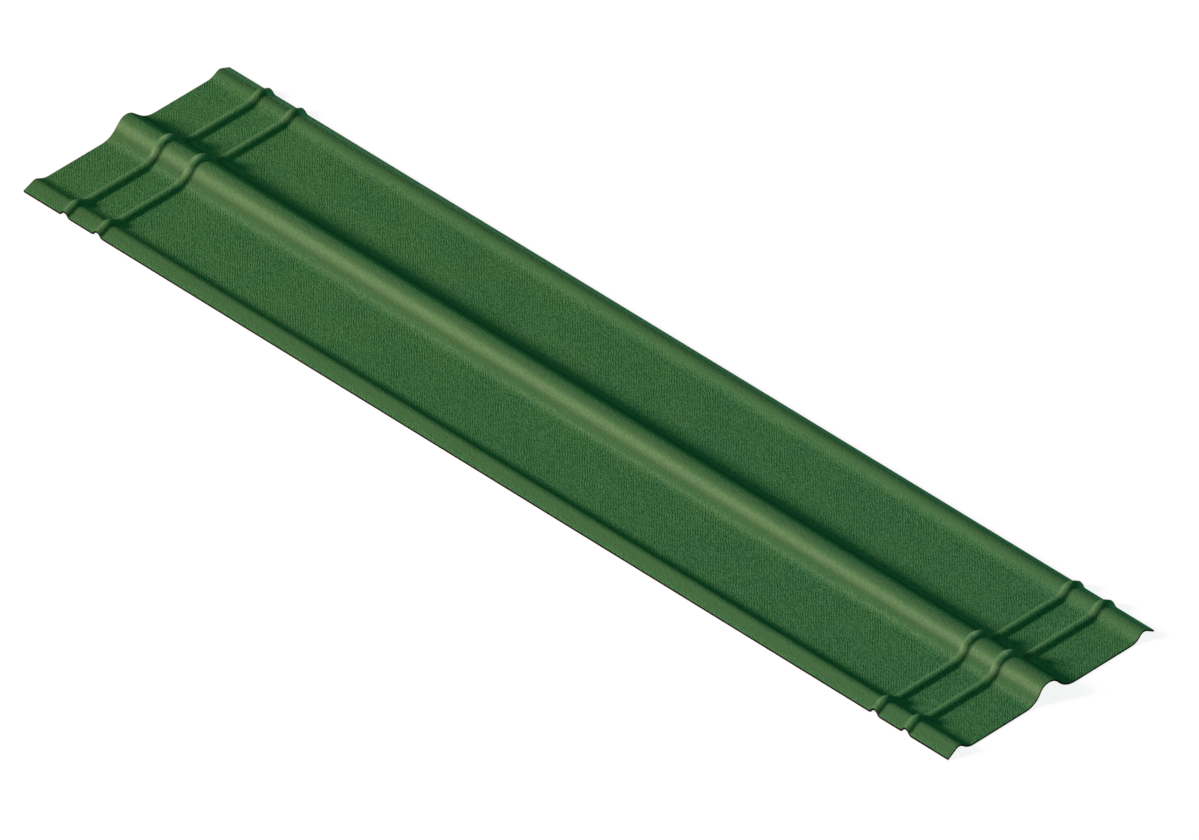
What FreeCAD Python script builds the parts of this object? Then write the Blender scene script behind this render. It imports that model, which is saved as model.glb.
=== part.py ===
# Roof ridge cap: one board of bitumen-soaked fibre, pressed to shape while wet and trimmed.
# A round roll runs along the middle, a flat wing lies on each side of it, and each long edge is
# turned up and over into a lip. Four cross ribs, two near each end, are pressed up through the
# sheet from edge to edge, so that the end of one cap locks onto the next.
# Frame: X along the ridge, Y across it, Z up. The origin is under the middle, on the floor.

import FreeCAD, Part
import math
import os

# The sheet
length = 2000.0              # along the ridge
width = 444.0                # across, from lip edge to lip edge, seen from above
thickness = 3.0              # of the pressed board

# The roll along the middle, to the middle of the board's thickness
roll_height = 29.8           # crown above the wings
crown_radius = 19.0
flank_angle = 49.5           # of the straight flanks, in degrees from level
tightest_fold = 10.0         # inside radius left on a rib's top, where it turns up into the roll

# The lips along both long edges, to the middle of the board's thickness
lip_height = 11.0            # crest above the wings
lip_foot_radius = 22.0
lip_rise_angle = 34.0
lip_crest_radius = 12.0
lip_fall_angle = 28.5        # of the free edge, which comes down level with the wings' underside

# The cross ribs, pressed up through the whole sheet
rib_width = 27.0
rib_height = 6.5
left_rib_inset = 86.0        # first rib's middle, from the sheet's end at -X
left_rib_spacing = 69.0      # to the second rib of that pair
right_rib_inset = 93.5       # first rib's middle, from the sheet's end at +X
right_rib_spacing = 66.0     # to the second rib of that pair

trim_spare = 20.0            # board pressed past each long edge, and then cut off

# Worked out from the sizes above
half_board = thickness / 2
foot_radius = rib_height + half_board + tightest_fold
rib_places = [
    -length / 2 + left_rib_inset,
    -length / 2 + left_rib_inset + left_rib_spacing,
    length / 2 - right_rib_inset - right_rib_spacing,
    length / 2 - right_rib_inset,
]


def straight_between(height, first_radius, second_radius, angle):
    # The straight stretch that is left between two arcs, both turning through angle, in a rise.
    turn = math.radians(angle)
    return (height - (first_radius + second_radius) * (1 - math.cos(turn))) / math.sin(turn)


def rise_run(straight, first_radius, second_radius, angle):
    # How far such a rise reaches to the side.
    turn = math.radians(angle)
    return (first_radius + second_radius) * math.sin(turn) + straight * math.cos(turn)


def bend(start, middle, end, splined):
    # An arc through three points, or the same arc held as a spline.
    arc = Part.Arc(start, middle, end).toShape()
    return arc.toNurbs().Edges[0] if splined else arc


def rib_outline(offset, splined):
    # The board's surface along X, a distance offset above its middle, as edges from -X to +X.
    # A rib is a crest arc between two foot arcs of the same middle radius.
    turn = 2 * math.atan2(rib_height, rib_width / 2)
    radius = rib_width / 4 / math.sin(turn)
    foot = radius - offset
    edges = []
    last = FreeCAD.Vector(-length / 2, 0, offset)
    for place in rib_places:
        points = []
        for side in (-1, 1):
            start = FreeCAD.Vector(place + side * rib_width / 2, 0, offset)
            for part_turn in (0, turn / 2, turn):
                inward = FreeCAD.Vector(-side * math.sin(part_turn), 0, 1 - math.cos(part_turn))
                points.append(start + inward * foot)
        left_foot, left_middle, left_join, right_foot, right_middle, right_join = points
        top = FreeCAD.Vector(place, 0, offset + rib_height)
        edges.append(Part.LineSegment(last, left_foot).toShape())
        edges.append(bend(left_foot, left_middle, left_join, splined))
        edges.append(bend(left_join, top, right_join, splined))
        edges.append(bend(right_join, right_middle, right_foot, splined))
        last = right_foot
    edges.append(Part.LineSegment(last, FreeCAD.Vector(length / 2, 0, offset)).toShape())
    return edges


def long_strip(splined):
    # The board cut along the ridge: a thin strip in the XZ plane with the four ribs in it.
    lower = rib_outline(-half_board, splined)
    upper = rib_outline(half_board, splined)
    ends = []
    for x in (-length / 2, length / 2):
        low = FreeCAD.Vector(x, 0, -half_board)
        high = FreeCAD.Vector(x, 0, half_board)
        ends.append(Part.LineSegment(low, high).toShape())
    return Part.Face(Part.Wire([ends[0]] + upper + [ends[1]] + lower[::-1]))


def section_steps():
    # The way across the sheet, from the lip edge at -Y to the one at +Y. Each step is a straight
    # ("line", length) or an arc ("arc", radius, turn in degrees), and a turn to the left is positive.
    flank = straight_between(roll_height, foot_radius, crown_radius, flank_angle)
    roll_run = rise_run(flank, foot_radius, crown_radius, flank_angle)
    lip_rise = straight_between(lip_height, lip_foot_radius, lip_crest_radius, lip_rise_angle)
    lip_run = rise_run(lip_rise, lip_foot_radius, lip_crest_radius, lip_rise_angle)
    fall = math.radians(lip_fall_angle)
    # The free edge ends where its lower corner is level with the wings' underside.
    edge_middle = half_board / math.cos(fall)
    edge_drop = half_board + lip_height - lip_crest_radius * (1 - math.cos(fall)) - edge_middle
    edge_straight = edge_drop / math.sin(fall)
    edge_run = lip_crest_radius * math.sin(fall) + edge_straight * math.cos(fall)
    wing = width / 2 - roll_run - lip_run - edge_run
    lip = [
        ("line", edge_straight + trim_spare),
        ("arc", lip_crest_radius, -lip_fall_angle - lip_rise_angle),
        ("line", lip_rise),
        ("arc", lip_foot_radius, lip_rise_angle),
    ]
    half_roll = [("line", wing), ("arc", foot_radius, flank_angle), ("line", flank)]
    crown = [("arc", crown_radius, -2 * flank_angle)]
    steps = lip + half_roll + crown + half_roll[::-1] + lip[::-1]
    start_y = -width / 2 - trim_spare * math.cos(fall)
    start_z = edge_middle - trim_spare * math.sin(fall)
    return steps, start_y, start_z


def carry(steps, y, z, heading):
    # Carries the long strip along the section: straights are drawn out, arcs are turned. Where it
    # is turned its rib arcs are held as splines, which keeps the doubly curved faces light.
    strips = {"line": long_strip(False), "arc": long_strip(True)}
    pieces = []
    for step in steps:
        face = strips[step[0]].copy()
        face.rotate(FreeCAD.Vector(0, 0, 0), FreeCAD.Vector(1, 0, 0), heading)
        face.translate(FreeCAD.Vector(0, y, z))
        angle = math.radians(heading)
        if step[0] == "line":
            run = FreeCAD.Vector(0, math.cos(angle), math.sin(angle)) * step[1]
            pieces.append(face.extrude(run))
            y += run.y
            z += run.z
        else:
            side = math.copysign(step[1], step[2])
            centre = FreeCAD.Vector(0, y - side * math.sin(angle), z + side * math.cos(angle))
            pieces.append(face.revolve(centre, FreeCAD.Vector(1, 0, 0), step[2]))
            heading += step[2]
            angle = math.radians(heading)
            y = centre.y + side * math.sin(angle)
            z = centre.z - side * math.cos(angle)
    return pieces


def ridge_cap():
    steps, y, z = section_steps()
    pieces = carry(steps, y, z, lip_fall_angle)
    board = pieces[0].multiFuse(pieces[1:]).removeSplitter()
    room = roll_height + rib_height + thickness + trim_spare
    trim = Part.makeBox(length + 2 * trim_spare, width, 2 * room)
    trim.translate(FreeCAD.Vector(-length / 2 - trim_spare, -width / 2, -room))
    return board.common(trim).Solids[0]


os.makedirs("parts", exist_ok=True)
cap = ridge_cap()
cap.exportStep("parts/ridge_cap.step")
box = cap.optimalBoundingBox(False, False)
print("ridge_cap", "valid" if cap.isValid() else "not valid", cap.ShapeType, len(cap.Faces), "faces")
print("size", round(box.XLength, 2), round(box.YLength, 2), round(box.ZLength, 2), "mm")
print("volume", round(cap.Volume), "mm3")
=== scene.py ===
import bpy
import bmesh
import math
from mathutils import Matrix, Vector


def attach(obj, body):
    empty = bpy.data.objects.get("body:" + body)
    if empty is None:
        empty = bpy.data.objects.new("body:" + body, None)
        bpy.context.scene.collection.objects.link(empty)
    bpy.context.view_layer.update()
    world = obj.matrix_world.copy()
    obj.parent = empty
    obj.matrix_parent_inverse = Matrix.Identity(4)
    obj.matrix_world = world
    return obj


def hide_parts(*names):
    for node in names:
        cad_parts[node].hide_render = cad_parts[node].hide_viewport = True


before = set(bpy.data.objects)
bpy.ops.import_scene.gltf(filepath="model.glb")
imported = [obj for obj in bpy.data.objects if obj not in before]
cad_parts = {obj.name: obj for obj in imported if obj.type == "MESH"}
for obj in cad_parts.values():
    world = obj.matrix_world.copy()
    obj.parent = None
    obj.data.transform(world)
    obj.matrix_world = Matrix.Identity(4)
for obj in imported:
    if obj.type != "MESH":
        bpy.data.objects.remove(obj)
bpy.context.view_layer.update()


# the pressed board

board = {
    "length": 2.0,
    "width": 0.444,
    "thickness": 0.003,
    "ribPlaces": [-0.9100, -0.8385, 0.8430, 0.9094],
    "ribWidth": 0.025,
    "ribHeight": 0.0067,
    "lean": 0.14,              # how far the press pushed the forms towards -Y, for each unit of height
    "trimSpare": 0.020,        # pressed past each long edge, then cut off
    "endMargin": 0.002,        # narrow row of faces that keeps the cut ends crisp
    "arrisAngle": 60,          # the cut faces' edges that turn by more than this are rounded
    "arrisRounding": 0.0006,
    "arrisSegments": 2,
    "mergeWithin": 0.00001,
    "undersideFinish": 1,      # after the green top's 0
    "edgeFinish": 2,
    # the section at both ends; the forms grow steeper towards +X
    "ends": [
        {
            "rollHeight": 0.0295,
            "crownRadius": 0.0205,
            "footRadius": 0.0450,
            "flankAngle": 43.5,
            "rollShift": 0.003,
            "lipHeight": 0.0090,
            "lipFootRadius": 0.036,
            "lipRiseAngle": 28.0,
            "lipCrestRadius": 0.011,
            "nearFallAngle": 20.5,
            "farFallAngle": 23.5,
            "farEdgeLift": 0.0012,
        },
        {
            "rollHeight": 0.0290,
            "crownRadius": 0.0240,
            "footRadius": 0.0385,
            "flankAngle": 56.0,
            "rollShift": -0.0015,
            "lipHeight": 0.0132,
            "lipFootRadius": 0.0260,
            "lipRiseAngle": 42.0,
            "lipCrestRadius": 0.012,
            "nearFallAngle": 31.0,
            "farFallAngle": 34.0,
            "farEdgeLift": 0.0020,
        },
    ],
    # how finely the board is cut into faces, along the ridge and then across it
    "flatFace": 0.028,
    "leastFlatFaces": 2,
    "ribFaces": 5,             # in each quarter of a rib
    "lipEdgeFaces": 3,
    "lipCrestFaces": 10,
    "lipRiseFaces": 2,
    "lipFootFaces": 6,
    "wingFaces": 5,
    "rollFootFaces": 10,
    "flankFaces": 4,
    "crownFaces": 18,
}


def straightBetween(height, firstRadius, secondRadius, angle):
    # what is left of a rise between its two arcs
    turn = math.radians(angle)
    return (height - (firstRadius + secondRadius) * (1 - math.cos(turn))) / math.sin(turn)


def riseRun(straight, firstRadius, secondRadius, angle):
    # how far such a rise reaches to the side
    turn = math.radians(angle)
    return (firstRadius + secondRadius) * math.sin(turn) + straight * math.cos(turn)


def carry(mesh, row, steps, place, heading, forward):
    # Carries a row of points along straights (length, 0, faces) and arcs (radius, turn, faces).
    # The offsets of the row from the line that it follows are kept, so both skins come out parallel.
    up = Vector((0, 0, 1))
    axis = forward.cross(up)
    angle = math.radians(heading)
    for size, turn, faces in steps:
        along = forward * math.cos(angle) + up * math.sin(angle)
        if turn:
            side = math.copysign(size, turn)
            centre = place + (up * math.cos(angle) - forward * math.sin(angle)) * side
            bend = math.radians(turn)
            made = bmesh.ops.spin(mesh, geom=row, cent=centre, axis=axis, angle=bend, steps=faces)
            angle += bend
            place = centre - (up * math.cos(angle) - forward * math.sin(angle)) * side
        else:
            step = along * size / faces
            made = bmesh.ops.spin(mesh, geom=row, cent=place, axis=axis, angle=0, dvec=step, steps=faces)
            place = place + along * size
        row = made["geom_last"]
    return row


def flatStep(length):
    return (length, 0, max(board["leastFlatFaces"], round(length / board["flatFace"])))


def ribSteps():
    # the line along the ridge: flat stretches with the four ribs between them
    turn = 2 * math.atan2(board["ribHeight"], board["ribWidth"] / 2)
    radius = board["ribWidth"] / 4 / math.sin(turn)
    turn = math.degrees(turn)
    faces = board["ribFaces"]
    end = board["length"] / 2
    steps = [(board["endMargin"], 0, 1)]
    last = -end + board["endMargin"]
    for place in board["ribPlaces"]:
        steps.append(flatStep(place - board["ribWidth"] / 2 - last))
        steps += [(radius, turn, faces), (radius, -2 * turn, 2 * faces), (radius, turn, faces)]
        last = place + board["ribWidth"] / 2
    return steps + [flatStep(end - board["endMargin"] - last), (board["endMargin"], 0, 1)]


def lipSteps(end, fallAngle, lift):
    # from the free edge, which is lifted off the floor, over the crest and down to the wing
    half = board["thickness"] / 2
    foot = end["lipFootRadius"]
    crest = end["lipCrestRadius"]
    rise = straightBetween(end["lipHeight"], foot, crest, end["lipRiseAngle"])
    fall = math.radians(fallAngle)
    edgeMiddle = half / math.cos(fall) + lift
    edgeDrop = half + end["lipHeight"] - crest * (1 - math.cos(fall)) - edgeMiddle
    edgeStraight = edgeDrop / math.sin(fall)
    edgeRun = crest * math.sin(fall) + edgeStraight * math.cos(fall)
    run = edgeRun + riseRun(rise, foot, crest, end["lipRiseAngle"])
    margin = 2 * board["endMargin"]
    steps = [
        (board["trimSpare"] + margin, 0, 1),
        (edgeStraight - margin, 0, board["lipEdgeFaces"]),
        (crest, -fallAngle - end["lipRiseAngle"], board["lipCrestFaces"]),
        (rise, 0, board["lipRiseFaces"]),
        (foot, end["lipRiseAngle"], board["lipFootFaces"]),
    ]
    return steps, run, edgeMiddle


def sectionSteps(end):
    # the way across: near lip, wing, roll, wing, far lip
    flank = straightBetween(end["rollHeight"], end["footRadius"], end["crownRadius"], end["flankAngle"])
    rollRun = riseRun(flank, end["footRadius"], end["crownRadius"], end["flankAngle"])
    nearLip, nearRun, edgeMiddle = lipSteps(end, end["nearFallAngle"], 0)
    farLip, farRun, _ = lipSteps(end, end["farFallAngle"], end["farEdgeLift"])
    room = board["width"] / 2 - rollRun
    nearWing = (room - nearRun + end["rollShift"], 0, board["wingFaces"])
    farWing = (room - farRun - end["rollShift"], 0, board["wingFaces"])
    upFlank = [
        (end["footRadius"], end["flankAngle"], board["rollFootFaces"]),
        (flank, 0, board["flankFaces"]),
    ]
    crown = [(end["crownRadius"], -2 * end["flankAngle"], board["crownFaces"])]
    steps = nearLip + [nearWing] + upFlank + crown + upFlank[::-1] + [farWing] + farLip[::-1]
    fall = math.radians(end["nearFallAngle"])
    startY = -board["width"] / 2 - board["trimSpare"] * math.cos(fall)
    startZ = edgeMiddle - board["trimSpare"] * math.sin(fall)
    return steps, Vector((0, startY, startZ))


def pressSkin(mesh, offset, end):
    # one face of the board: its line along the ridge first, then that line carried across
    first = mesh.verts.new((-board["length"] / 2, 0, offset))
    carry(mesh, [first], ribSteps(), Vector((-board["length"] / 2, 0, 0)), 0, Vector((1, 0, 0)))
    points = [v for v in mesh.verts if not v.link_faces]
    line = points + [e for e in mesh.edges if not e.link_faces]
    steps, start = sectionSteps(end)
    tilt = Matrix.Translation(start) @ Matrix.Rotation(math.radians(end["nearFallAngle"]), 4, "X")
    bmesh.ops.transform(mesh, matrix=tilt, verts=points)
    carry(mesh, line, steps, start, end["nearFallAngle"], Vector((0, 1, 0)))


def pressSkins(end):
    mesh = bmesh.new()
    pressSkin(mesh, -board["thickness"] / 2, end)
    for face in mesh.faces:
        face.material_index = board["undersideFinish"]
    pressSkin(mesh, board["thickness"] / 2, end)
    return mesh


def trimEdges(mesh):
    # cuts both long edges off straight, and closes the board all round
    for side in (-1, 1):
        everything = mesh.verts[:] + mesh.edges[:] + mesh.faces[:]
        bmesh.ops.bisect_plane(mesh, geom=everything, plane_co=(0, side * board["width"] / 2, 0),
                               plane_no=(0, side, 0), clear_outer=True)
    rim = bmesh.ops.bridge_loops(mesh, edges=[e for e in mesh.edges if e.is_boundary])
    for face in rim["faces"]:
        face.material_index = board["edgeFinish"]
    bmesh.ops.remove_doubles(mesh, verts=mesh.verts, dist=board["mergeWithin"])
    bmesh.ops.recalc_face_normals(mesh, faces=mesh.faces)


def isArris(edge):
    # one of the edges that run round the cut faces
    cut = any(face.material_index == board["edgeFinish"] for face in edge.link_faces)
    return cut and edge.calc_face_angle(0) > math.radians(board["arrisAngle"])


def pressBoard():
    # the skins of both ends' sections have matching points, so the board is a blend from one to the other
    mesh, other = (pressSkins(end) for end in board["ends"])
    for vertex, partner in zip(mesh.verts, other.verts):
        vertex.co = vertex.co.lerp(partner.co, 0.5 + vertex.co.x / board["length"])
        vertex.co.y -= board["lean"] * vertex.co.z
    other.free()
    trimEdges(mesh)
    arrises = [e for e in mesh.edges if isArris(e)]
    wearAndBreakup = bmesh.ops.bevel(mesh, geom=arrises, offset=board["arrisRounding"], offset_type="OFFSET",
                           affect="EDGES", segments=board["arrisSegments"], profile=0.5, material=-1,
                           clamp_overlap=True)
    for face in wearAndBreakup["faces"]:
        face.material_index = board["edgeFinish"]
    for face in mesh.faces:
        face.smooth = True
    data = bpy.data.meshes.new("ridgeCap")
    mesh.to_mesh(data)
    mesh.free()
    piece = bpy.data.objects.new("ridgeCap", data)
    bpy.context.collection.objects.link(piece)
    return piece


cap = pressBoard()
print("board pressed:", len(cap.data.polygons), "faces")


# finishes; a range is from and to, then what comes out at each of them where that isn't 0 and 1

def addNode(tree, kind, settings=None, **inputs):
    # a node with its settings and inputs; n0 is the first input, and a value may be another node's output
    made = tree.nodes.new(kind)
    for name, value in (settings or {}).items():
        setattr(made, name, value)
    for name, value in inputs.items():
        socket = made.inputs[int(name[1:])] if name[0] == "n" and name[1:].isdigit() else made.inputs[name]
        if isinstance(value, bpy.types.NodeSocket):
            tree.links.new(value, socket)
        else:
            socket.default_value = value
    return made


def newGroup(name, inputs, outputs):
    group = bpy.data.node_groups.new(name, "ShaderNodeTree")
    for title, kind, value in inputs:
        socket = group.interface.new_socket(title, in_out="INPUT", socket_type=kind)
        if value is not None:
            socket.default_value = value
    for title, kind in outputs:
        group.interface.new_socket(title, in_out="OUTPUT", socket_type=kind)
    return group, group.nodes.new("NodeGroupInput"), group.nodes.new("NodeGroupOutput")


def useGroup(tree, group, **inputs):
    return addNode(tree, "ShaderNodeGroup", {"node_tree": group}, **inputs)


def mathNode(tree, operation, first, second=0.0):
    return addNode(tree, "ShaderNodeMath", {"operation": operation}, n0=first, n1=second).outputs[0]


def noiseNode(tree, vector, scale, detail=2.0, roughness=0.5):
    inputs = {"Vector": vector, "Scale": scale, "Detail": detail, "Roughness": roughness}
    return addNode(tree, "ShaderNodeTexNoise", **inputs).outputs["Fac"]


def mappingNode(tree, vector, **inputs):
    return addNode(tree, "ShaderNodeMapping", Vector=vector, **inputs).outputs[0]


def mapRange(tree, value, low, high, toLow=0.0, toHigh=1.0):
    made = addNode(tree, "ShaderNodeMapRange", {"interpolation_type": "SMOOTHSTEP"},
                   n0=value, n1=low, n2=high, n3=toLow, n4=toHigh)
    return made.outputs[0]


def mixColours(tree, amount, first, second):
    made = tree.nodes.new("ShaderNodeMix")
    made.data_type = "RGBA"
    for index, value in ((0, amount), (6, first), (7, second)):
        if isinstance(value, bpy.types.NodeSocket):
            tree.links.new(value, made.inputs[index])
        else:
            made.inputs[index].default_value = value
    return made.outputs[2]


pulp = {
    "grain": {"detail": 3.0, "roughness": 0.6},
    "clots": {"detail": 2.0, "roughness": 0.55},
    "fibreSets": [
        {"Rotation": (0, 0, 0.5), "Scale": (0.35, 2.4, 1.6)},
        {"Rotation": (0, 0, -0.7), "Scale": (0.4, 2.2, 1.6)},
    ],
    "fibreRange": (0.56, 0.72),
    "grainRise": 0.45,
    "clotRise": 0.55,
    "fibreRise": 0.18,
    "mottleShare": 0.5,
}


def pulpGrain():
    # pulp and fibre: fine grain, longer fibres lying two ways, and the clots between them
    group, given, result = newGroup("pulpGrain", [
        ("Vector", "NodeSocketVector", None),
        ("Grain", "NodeSocketFloat", 620.0),
        ("Clots", "NodeSocketFloat", 230.0),
        ("Fibres", "NodeSocketFloat", 160.0),
    ], [("Height", "NodeSocketFloat"), ("Mottle", "NodeSocketFloat"), ("Fibre", "NodeSocketFloat")])
    vector = given.outputs["Vector"]
    grain = noiseNode(group, vector, given.outputs["Grain"], **pulp["grain"])
    clots = noiseNode(group, vector, given.outputs["Clots"], **pulp["clots"])
    oneWay, otherWay = (noiseNode(group, mappingNode(group, vector, **lying), given.outputs["Fibres"])
                        for lying in pulp["fibreSets"])
    fibre = mapRange(group, mathNode(group, "MAXIMUM", oneWay, otherWay), *pulp["fibreRange"])
    grainPart = mathNode(group, "MULTIPLY", grain, pulp["grainRise"])
    clotPart = mathNode(group, "MULTIPLY", clots, pulp["clotRise"])
    fibrePart = mathNode(group, "MULTIPLY", fibre, pulp["fibreRise"])
    height = mathNode(group, "ADD", mathNode(group, "ADD", grainPart, clotPart), fibrePart)
    grainShade = mathNode(group, "MULTIPLY", grain, pulp["mottleShare"])
    clotShade = mathNode(group, "MULTIPLY", clots, pulp["mottleShare"])
    group.links.new(height, result.inputs["Height"])
    group.links.new(mathNode(group, "ADD", grainShade, clotShade), result.inputs["Mottle"])
    group.links.new(fibre, result.inputs["Fibre"])
    return group


imprint = {
    "driftNoise": {"Scale": 70.0, "Detail": 2.0},
    "drift": 0.0070,
    "turn": 45,                # the mesh lies across the board's corners
    "wireRises": {"X": 0.09, "Y": 0.13},
    "patchScale": 28.0,
    "patchRange": (0.36, 0.66, 0.25, 1.0),
}


def meshImprint():
    # the drying mesh leaves a faint weave, uneven because the pulp has run
    group, given, result = newGroup("meshImprint", [
        ("Vector", "NodeSocketVector", None),
        ("Pitch", "NodeSocketFloat", 0.0026),
        ("Blur", "NodeSocketFloat", 0.5),
    ], [("Height", "NodeSocketFloat")])
    vector = given.outputs["Vector"]
    noise = addNode(group, "ShaderNodeTexNoise", Vector=vector, **imprint["driftNoise"])
    drift = addNode(group, "ShaderNodeVectorMath", {"operation": "SCALE"}, n0=noise.outputs["Color"],
                    Scale=imprint["drift"])
    moved = addNode(group, "ShaderNodeVectorMath", {"operation": "ADD"}, n0=vector, n1=drift.outputs[0])
    turned = mappingNode(group, moved.outputs[0], Rotation=(0, 0, math.radians(imprint["turn"])))
    parts = addNode(group, "ShaderNodeSeparateXYZ", Vector=turned)
    wires = []
    for name, rise in imprint["wireRises"].items():
        turns = mathNode(group, "DIVIDE", parts.outputs[name], given.outputs["Pitch"])
        wave = mathNode(group, "SINE", mathNode(group, "MULTIPLY", turns, 2 * math.pi))
        wires.append(mathNode(group, "MULTIPLY", wave, rise))
    weave = mathNode(group, "ADD", wires[0], wires[1])
    patchy = mapRange(group, noiseNode(group, vector, imprint["patchScale"]), *imprint["patchRange"])
    clear = mathNode(group, "SUBTRACT", 1.0, given.outputs["Blur"])
    shown = mathNode(group, "MULTIPLY", weave, mathNode(group, "MULTIPLY", patchy, clear))
    group.links.new(shown, result.inputs["Height"])
    return group


grainGroup = pulpGrain()
imprintGroup = meshImprint()


def newMaterial(name):
    made = bpy.data.materials.new(name)
    made.use_nodes = True
    tree = made.node_tree
    shader = next(n for n in tree.nodes if n.type == "BSDF_PRINCIPLED")
    position = addNode(tree, "ShaderNodeTexCoord").outputs["Object"]
    return made, tree, shader, position


def addRelief(tree, shader, height, depth):
    bump = addNode(tree, "ShaderNodeBump", Height=height, Distance=depth, Strength=1.0)
    tree.links.new(bump.outputs[0], shader.inputs["Normal"])


greenCoat = {
    "deep": (0.017, 0.068, 0.026, 1),
    "body": (0.052, 0.138, 0.056, 1),
    "bare": (0.115, 0.205, 0.122, 1),
    "warm": (0.073, 0.152, 0.045, 1),
    "cool": (0.022, 0.096, 0.050, 1),
    # painted light and shade in bands along the board: colour, amount, middle height above the floor, reach
    # above and below it, and the stretch across the board that it is found in
    "bands": {
        # painted shade, olive-tinted, on the roll's flanks where the key lights them brightly
        "rollFlankShade": ((0.034, 0.056, 0.024, 1), 0.60, 0.0130, 0.0095, -0.045, 0.045),
        # painted highlight along the roll's shoulders
        "rollShoulderHighlight": ((0.125, 0.160, 0.086, 1), 0.45, 0.0222, 0.0105, -0.060, 0.060),
        # painted highlight along the feet of the roll
        "rollFootHighlight": ((0.118, 0.155, 0.085, 1), 0.24, 0.0056, 0.0026, -0.080, 0.080),
        # painted shade on the near side of the crown
        "crownNearSideShade": ((0.042, 0.076, 0.034, 1), 0.60, 0.0310, 0.0060, -0.045, -0.004),
        # painted shade on the near lip
        "nearLip": ((0.034, 0.070, 0.030, 1), 0.70, 0.0110, 0.0120, -0.300, -0.192),
        # painted shade on the rise of the far lip
        "farLipRiseShade": ((0.046, 0.080, 0.038, 1), 0.55, 0.0110, 0.0100, 0.170, 0.209),
        # painted shade on the crest of the far lip
        "farLipCrestShade": ((0.018, 0.055, 0.020, 1), 0.55, 0.0120, 0.0110, 0.191, 0.203),
        # painted light on the far lip's fall, which faces away from the key
        "farLipFallLight": ((0.175, 0.270, 0.152, 1), 0.88, 0.0085, 0.0125, 0.206, 0.300),
        # painted highlight on the rib tops where they cross the crown
        "crownRibTopHighlight": ((0.160, 0.250, 0.150, 1), 0.65, 0.0400, 0.0075, -0.012, 0.030),
    },
    "bandSoftness": 0.006,
    # painted highlight, with some wear, on each rib's crest, shifted towards its lit -X side
    "ribCrestHighlightAndWear": ((0.120, 0.180, 0.100, 1), 0.28, -0.0025, 0.0075),  # colour, amount, shift along X, reach
    "bandBreakupRange": (0.3, 0.6, 0.6, 1.0),
    "mottleRange": (0.40, 0.58),
    "imprintShade": 0.35,
    "smearedRange": (0.0031, 0.0120),  # above the wings the press has smeared the mesh marks and mottle
    "smearBlur": 0.8,
    "smearEvens": 0.5,
    "evenMottle": 0.55,
    "speckNoise": {"scale": 480.0, "detail": 1.0},
    "speckRange": (0.6, 0.74, 0.0, 0.55),
    "warmEndRange": (-1.1, 1.1, 0.65, 0.0),  # lighter and warmer towards the -X end
    "patchNoise": {"scale": 9.0, "detail": 3.0},
    "patchRange": (0.35, 0.65, 0.0, 0.35),
    "washShown": 0.25,
    "roughRange": (0.4, 0.75, 0.72, 0.5),
    "specular": 0.0,
    "meshPitch": 0.0039,
    "imprintRise": 0.9,
    "relief": 0.0017,
}


def smearedMottle(tree, grain, imprinted, smeared):
    # the clots' light and dark, evened out where the press has smeared them
    shade = mathNode(tree, "MULTIPLY", imprinted, greenCoat["imprintShade"])
    mottle = mathNode(tree, "ADD", grain.outputs["Mottle"], shade)
    mottle = mapRange(tree, mottle, *greenCoat["mottleRange"])
    evened = mathNode(tree, "MULTIPLY", smeared, greenCoat["smearEvens"])
    change = mathNode(tree, "MULTIPLY", evened, mathNode(tree, "SUBTRACT", greenCoat["evenMottle"], mottle))
    return mathNode(tree, "ADD", mottle, change)


def washed(tree, colour, position, along):
    # broad warm and cool patches, with more of the warm towards the -X end
    patches = noiseNode(tree, position, **greenCoat["patchNoise"])
    patches = mapRange(tree, patches, *greenCoat["patchRange"])
    tint = mathNode(tree, "ADD", mapRange(tree, along, *greenCoat["warmEndRange"]), patches)
    wash = mixColours(tree, tint, greenCoat["cool"], greenCoat["warm"])
    return mixColours(tree, greenCoat["washShown"], colour, wash)


def strip(tree, value, middle, reach, amount, wearAndBreakup):
    # a soft strip about the middle value, broken up by the mottle
    away = mathNode(tree, "ABSOLUTE", mathNode(tree, "SUBTRACT", value, middle))
    return mathNode(tree, "MULTIPLY", mapRange(tree, away, 0.0, reach, amount, 0.0), wearAndBreakup)


def paintedLightAndShade(tree, colour, place, wearAndBreakup):
    # painted light and shade in bands along the board, and a painted highlight with some wear on the crests
    # of the ribs
    across = place.outputs["Y"]
    soft = greenCoat["bandSoftness"]
    for tone, amount, middle, reach, start, end in greenCoat["bands"].values():
        shown = strip(tree, place.outputs["Z"], middle, reach, amount, wearAndBreakup)
        shown = mathNode(tree, "MULTIPLY", shown, mapRange(tree, across, start - soft, start + soft))
        shown = mathNode(tree, "MULTIPLY", shown, mapRange(tree, across, end - soft, end + soft, 1.0, 0.0))
        colour = mixColours(tree, shown, colour, tone)
    tone, amount, shift, reach = greenCoat["ribCrestHighlightAndWear"]
    for rib in board["ribPlaces"]:
        shown = strip(tree, place.outputs["X"], rib + shift, reach, amount, wearAndBreakup)
        colour = mixColours(tree, shown, colour, tone)
    return colour


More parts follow.
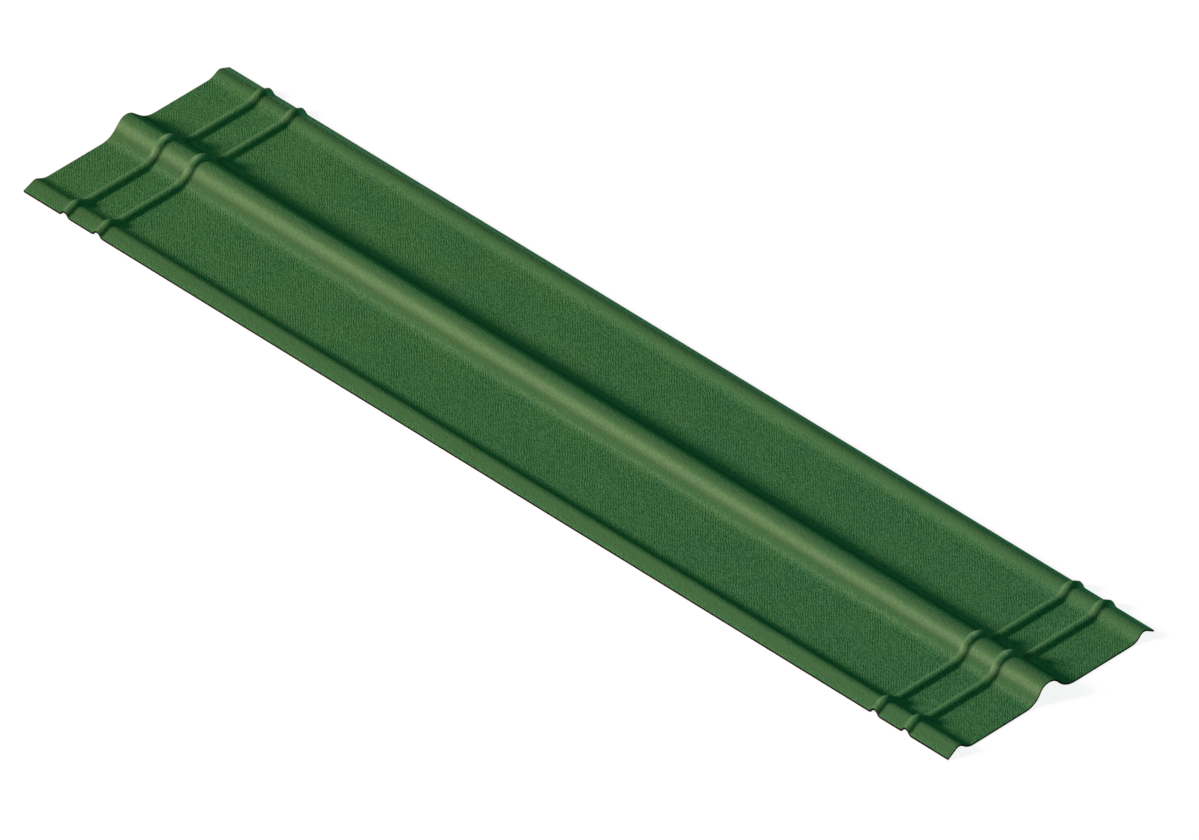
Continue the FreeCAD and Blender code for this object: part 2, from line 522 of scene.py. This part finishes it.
def greenBoard():
    made, tree, shader, position = newMaterial("greenPigmentedBoard")
    grain = useGroup(tree, grainGroup, Vector=position)
    place = addNode(tree, "ShaderNodeSeparateXYZ", Vector=position)
    smeared = mapRange(tree, place.outputs["Z"], *greenCoat["smearedRange"])
    blur = mathNode(tree, "MULTIPLY", smeared, greenCoat["smearBlur"])
    weave = useGroup(tree, imprintGroup, Vector=position, Pitch=greenCoat["meshPitch"], Blur=blur)
    imprinted = weave.outputs["Height"]
    mottle = smearedMottle(tree, grain, imprinted, smeared)
    colour = mixColours(tree, mottle, greenCoat["deep"], greenCoat["body"])
    speck = noiseNode(tree, position, **greenCoat["speckNoise"])
    speck = mapRange(tree, speck, *greenCoat["speckRange"])
    colour = mixColours(tree, speck, colour, greenCoat["bare"])
    colour = washed(tree, colour, position, place.outputs["X"])
    # mottle that breaks up the painted light and shade
    wearAndBreakup = mapRange(tree, grain.outputs["Mottle"], *greenCoat["bandBreakupRange"])
    tree.links.new(paintedLightAndShade(tree, colour, place, wearAndBreakup), shader.inputs["Base Color"])
    rough = mapRange(tree, grain.outputs["Height"], *greenCoat["roughRange"])
    tree.links.new(rough, shader.inputs["Roughness"])
    marks = mathNode(tree, "MULTIPLY", imprinted, greenCoat["imprintRise"])
    addRelief(tree, shader, mathNode(tree, "ADD", grain.outputs["Height"], marks), greenCoat["relief"])
    shader.inputs["Specular IOR Level"].default_value = greenCoat["specular"]
    return made


def fibrousColour(tree, grain, finish):
    mottle = mapRange(tree, grain.outputs["Mottle"], *finish["mottleRange"])
    colour = mixColours(tree, mottle, finish["dark"], finish["light"])
    shown = mathNode(tree, "MULTIPLY", grain.outputs["Fibre"], finish["fibreShown"])
    return mixColours(tree, shown, colour, finish["fibre"])


bitumen = {
    "dark": (0.010, 0.009, 0.008, 1),
    "light": (0.030, 0.027, 0.023, 1),
    "fibre": (0.075, 0.062, 0.045, 1),
    "fibreShown": 0.35,
    "grainSizes": {"Grain": 560.0, "Clots": 260.0, "Fibres": 130.0},
    "mesh": {"Pitch": 0.0024, "Blur": 0.1},
    "mottleRange": (0.36, 0.66),
    "roughRange": (0.4, 0.75, 0.62, 0.42),
    "relief": 0.0009,
}


def blackUnderside():
    made, tree, shader, position = newMaterial("bitumenUnderside")
    grain = useGroup(tree, grainGroup, Vector=position, **bitumen["grainSizes"])
    imprinted = useGroup(tree, imprintGroup, Vector=position, **bitumen["mesh"]).outputs["Height"]
    tree.links.new(fibrousColour(tree, grain, bitumen), shader.inputs["Base Color"])
    rough = mapRange(tree, grain.outputs["Height"], *bitumen["roughRange"])
    tree.links.new(rough, shader.inputs["Roughness"])
    addRelief(tree, shader, mathNode(tree, "ADD", grain.outputs["Height"], imprinted), bitumen["relief"])
    return made


cutBoard = {
    "dark": (0.002, 0.003, 0.002, 1),
    "light": (0.006, 0.010, 0.006, 1),
    "fibre": (0.020, 0.022, 0.014, 1),
    "fibreShown": 0.3,
    "layers": (0.5, 0.5, 3.5),  # the pulp lies in flat layers
    "grainSizes": {"Grain": 700.0, "Clots": 380.0, "Fibres": 240.0},
    "mottleRange": (0.36, 0.66),
    "roughness": 0.85,
    "specular": 0.02,
    "relief": 0.0007,
}


def cutEdge():
    made, tree, shader, position = newMaterial("cutEdge")
    layers = mappingNode(tree, position, Scale=cutBoard["layers"])
    grain = useGroup(tree, grainGroup, Vector=layers, **cutBoard["grainSizes"])
    tree.links.new(fibrousColour(tree, grain, cutBoard), shader.inputs["Base Color"])
    shader.inputs["Roughness"].default_value = cutBoard["roughness"]
    shader.inputs["Specular IOR Level"].default_value = cutBoard["specular"]
    addRelief(tree, shader, grain.outputs["Height"], cutBoard["relief"])
    return made


for finish in (greenBoard(), blackUnderside(), cutEdge()):  # in the order that the board's faces name
    cap.data.materials.append(finish)
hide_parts("ridge_cap")
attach(cap, "root")
print("finishes on:", len(cap.data.materials))


# floor, light and camera

studio = {
    "floorHalf": 9.0,
    "floorColour": (0.25, 0.115, 0.150, 1),  # as seen: it evens out the greenish sky, so shadows are grey
    "floorGives": (0.30, 0.30, 0.30, 1),     # and what it throws back up at the board
    "floorLift": 0.88,         # what the camera sees on top of the lit floor, so that it reads white
    "white": (1, 1, 1, 1),
    "sky": (0.085, 0.390, 0.285, 1),
    "keyFrom": (-1.4, -1.95, 1.0),
    "keyStrength": 7.8,
    "keyColour": (1.0, 0.79, 0.72),
    "keyAngle": 13.0,
}


def seenByCamera(tree):
    # one for what the camera sees straight, through glass or in a mirror
    path = addNode(tree, "ShaderNodeLightPath")
    seen = mathNode(tree, "MAXIMUM", path.outputs["Is Camera Ray"], path.outputs["Is Transmission Ray"])
    return mathNode(tree, "MAXIMUM", seen, path.outputs["Is Glossy Ray"])


def layFloor():
    mesh = bmesh.new()
    bmesh.ops.create_grid(mesh, x_segments=1, y_segments=1, size=studio["floorHalf"])
    data = bpy.data.meshes.new("floor")
    mesh.to_mesh(data)
    mesh.free()
    floor = bpy.data.objects.new("floor", data)
    bpy.context.collection.objects.link(floor)
    made = bpy.data.materials.new("paleFloor")
    made.use_nodes = True
    tree = made.node_tree
    tree.nodes.clear()
    seen = seenByCamera(tree)
    colour = mixColours(tree, seen, studio["floorGives"], studio["floorColour"])
    paint = addNode(tree, "ShaderNodeBsdfDiffuse", Color=colour)
    glow = mathNode(tree, "MULTIPLY", seen, studio["floorLift"])
    lift = addNode(tree, "ShaderNodeEmission", Color=studio["white"], Strength=glow)
    both = addNode(tree, "ShaderNodeAddShader", n0=paint.outputs[0], n1=lift.outputs[0])
    out = tree.nodes.new("ShaderNodeOutputMaterial")
    tree.links.new(both.outputs[0], out.inputs["Surface"])
    data.materials.append(made)


def lightWorld():
    world = bpy.data.worlds.new("studio")
    bpy.context.scene.world = world
    world.use_nodes = True
    tree = world.node_tree
    tree.nodes.clear()
    colour = mixColours(tree, seenByCamera(tree), studio["sky"], studio["white"])
    back = addNode(tree, "ShaderNodeBackground", Color=colour, Strength=1.0)
    out = tree.nodes.new("ShaderNodeOutputWorld")
    tree.links.new(back.outputs[0], out.inputs["Surface"])


def hangKey():
    lamp = bpy.data.lights.new("key", "SUN")
    lamp.energy = studio["keyStrength"]
    lamp.color = studio["keyColour"]
    lamp.angle = math.radians(studio["keyAngle"])
    holder = bpy.data.objects.new("key", lamp)
    bpy.context.collection.objects.link(holder)
    source = Vector(studio["keyFrom"])
    holder.rotation_euler = source.to_track_quat("Z", "Y").to_euler()
    holder.location = source


view = {
    "azimuth": 45.076,
    "elevation": 37.624,
    "across": 1.8311,          # metres of the object's middle plane that the picture is wide
    "lens": 1150.0,
    "sensor": 36.0,
    "farthest": 200.0,
    "aimRight": 0.02275,
    "aimUp": -0.01414,
}


def setCamera():
    camera = bpy.data.cameras.new("camera")
    camera.lens = view["lens"]
    camera.sensor_width = view["sensor"]
    camera.sensor_fit = "HORIZONTAL"
    camera.clip_end = view["farthest"]
    holder = bpy.data.objects.new("camera", camera)
    bpy.context.collection.objects.link(holder)
    turn = math.radians(view["azimuth"])
    rise = math.radians(view["elevation"])
    back = Vector((math.sin(turn) * math.cos(rise), -math.cos(turn) * math.cos(rise), math.sin(rise)))
    right = Vector((math.cos(turn), math.sin(turn), 0))
    aim = right * view["aimRight"] + back.cross(right) * view["aimUp"]
    holder.location = aim + back * view["across"] * view["lens"] / view["sensor"]
    holder.rotation_euler = back.to_track_quat("Z", "Y").to_euler()
    bpy.context.scene.camera = holder


layFloor()
lightWorld()
hangKey()
setCamera()
bpy.context.scene.view_settings.view_transform = "Standard"
print("studio set")
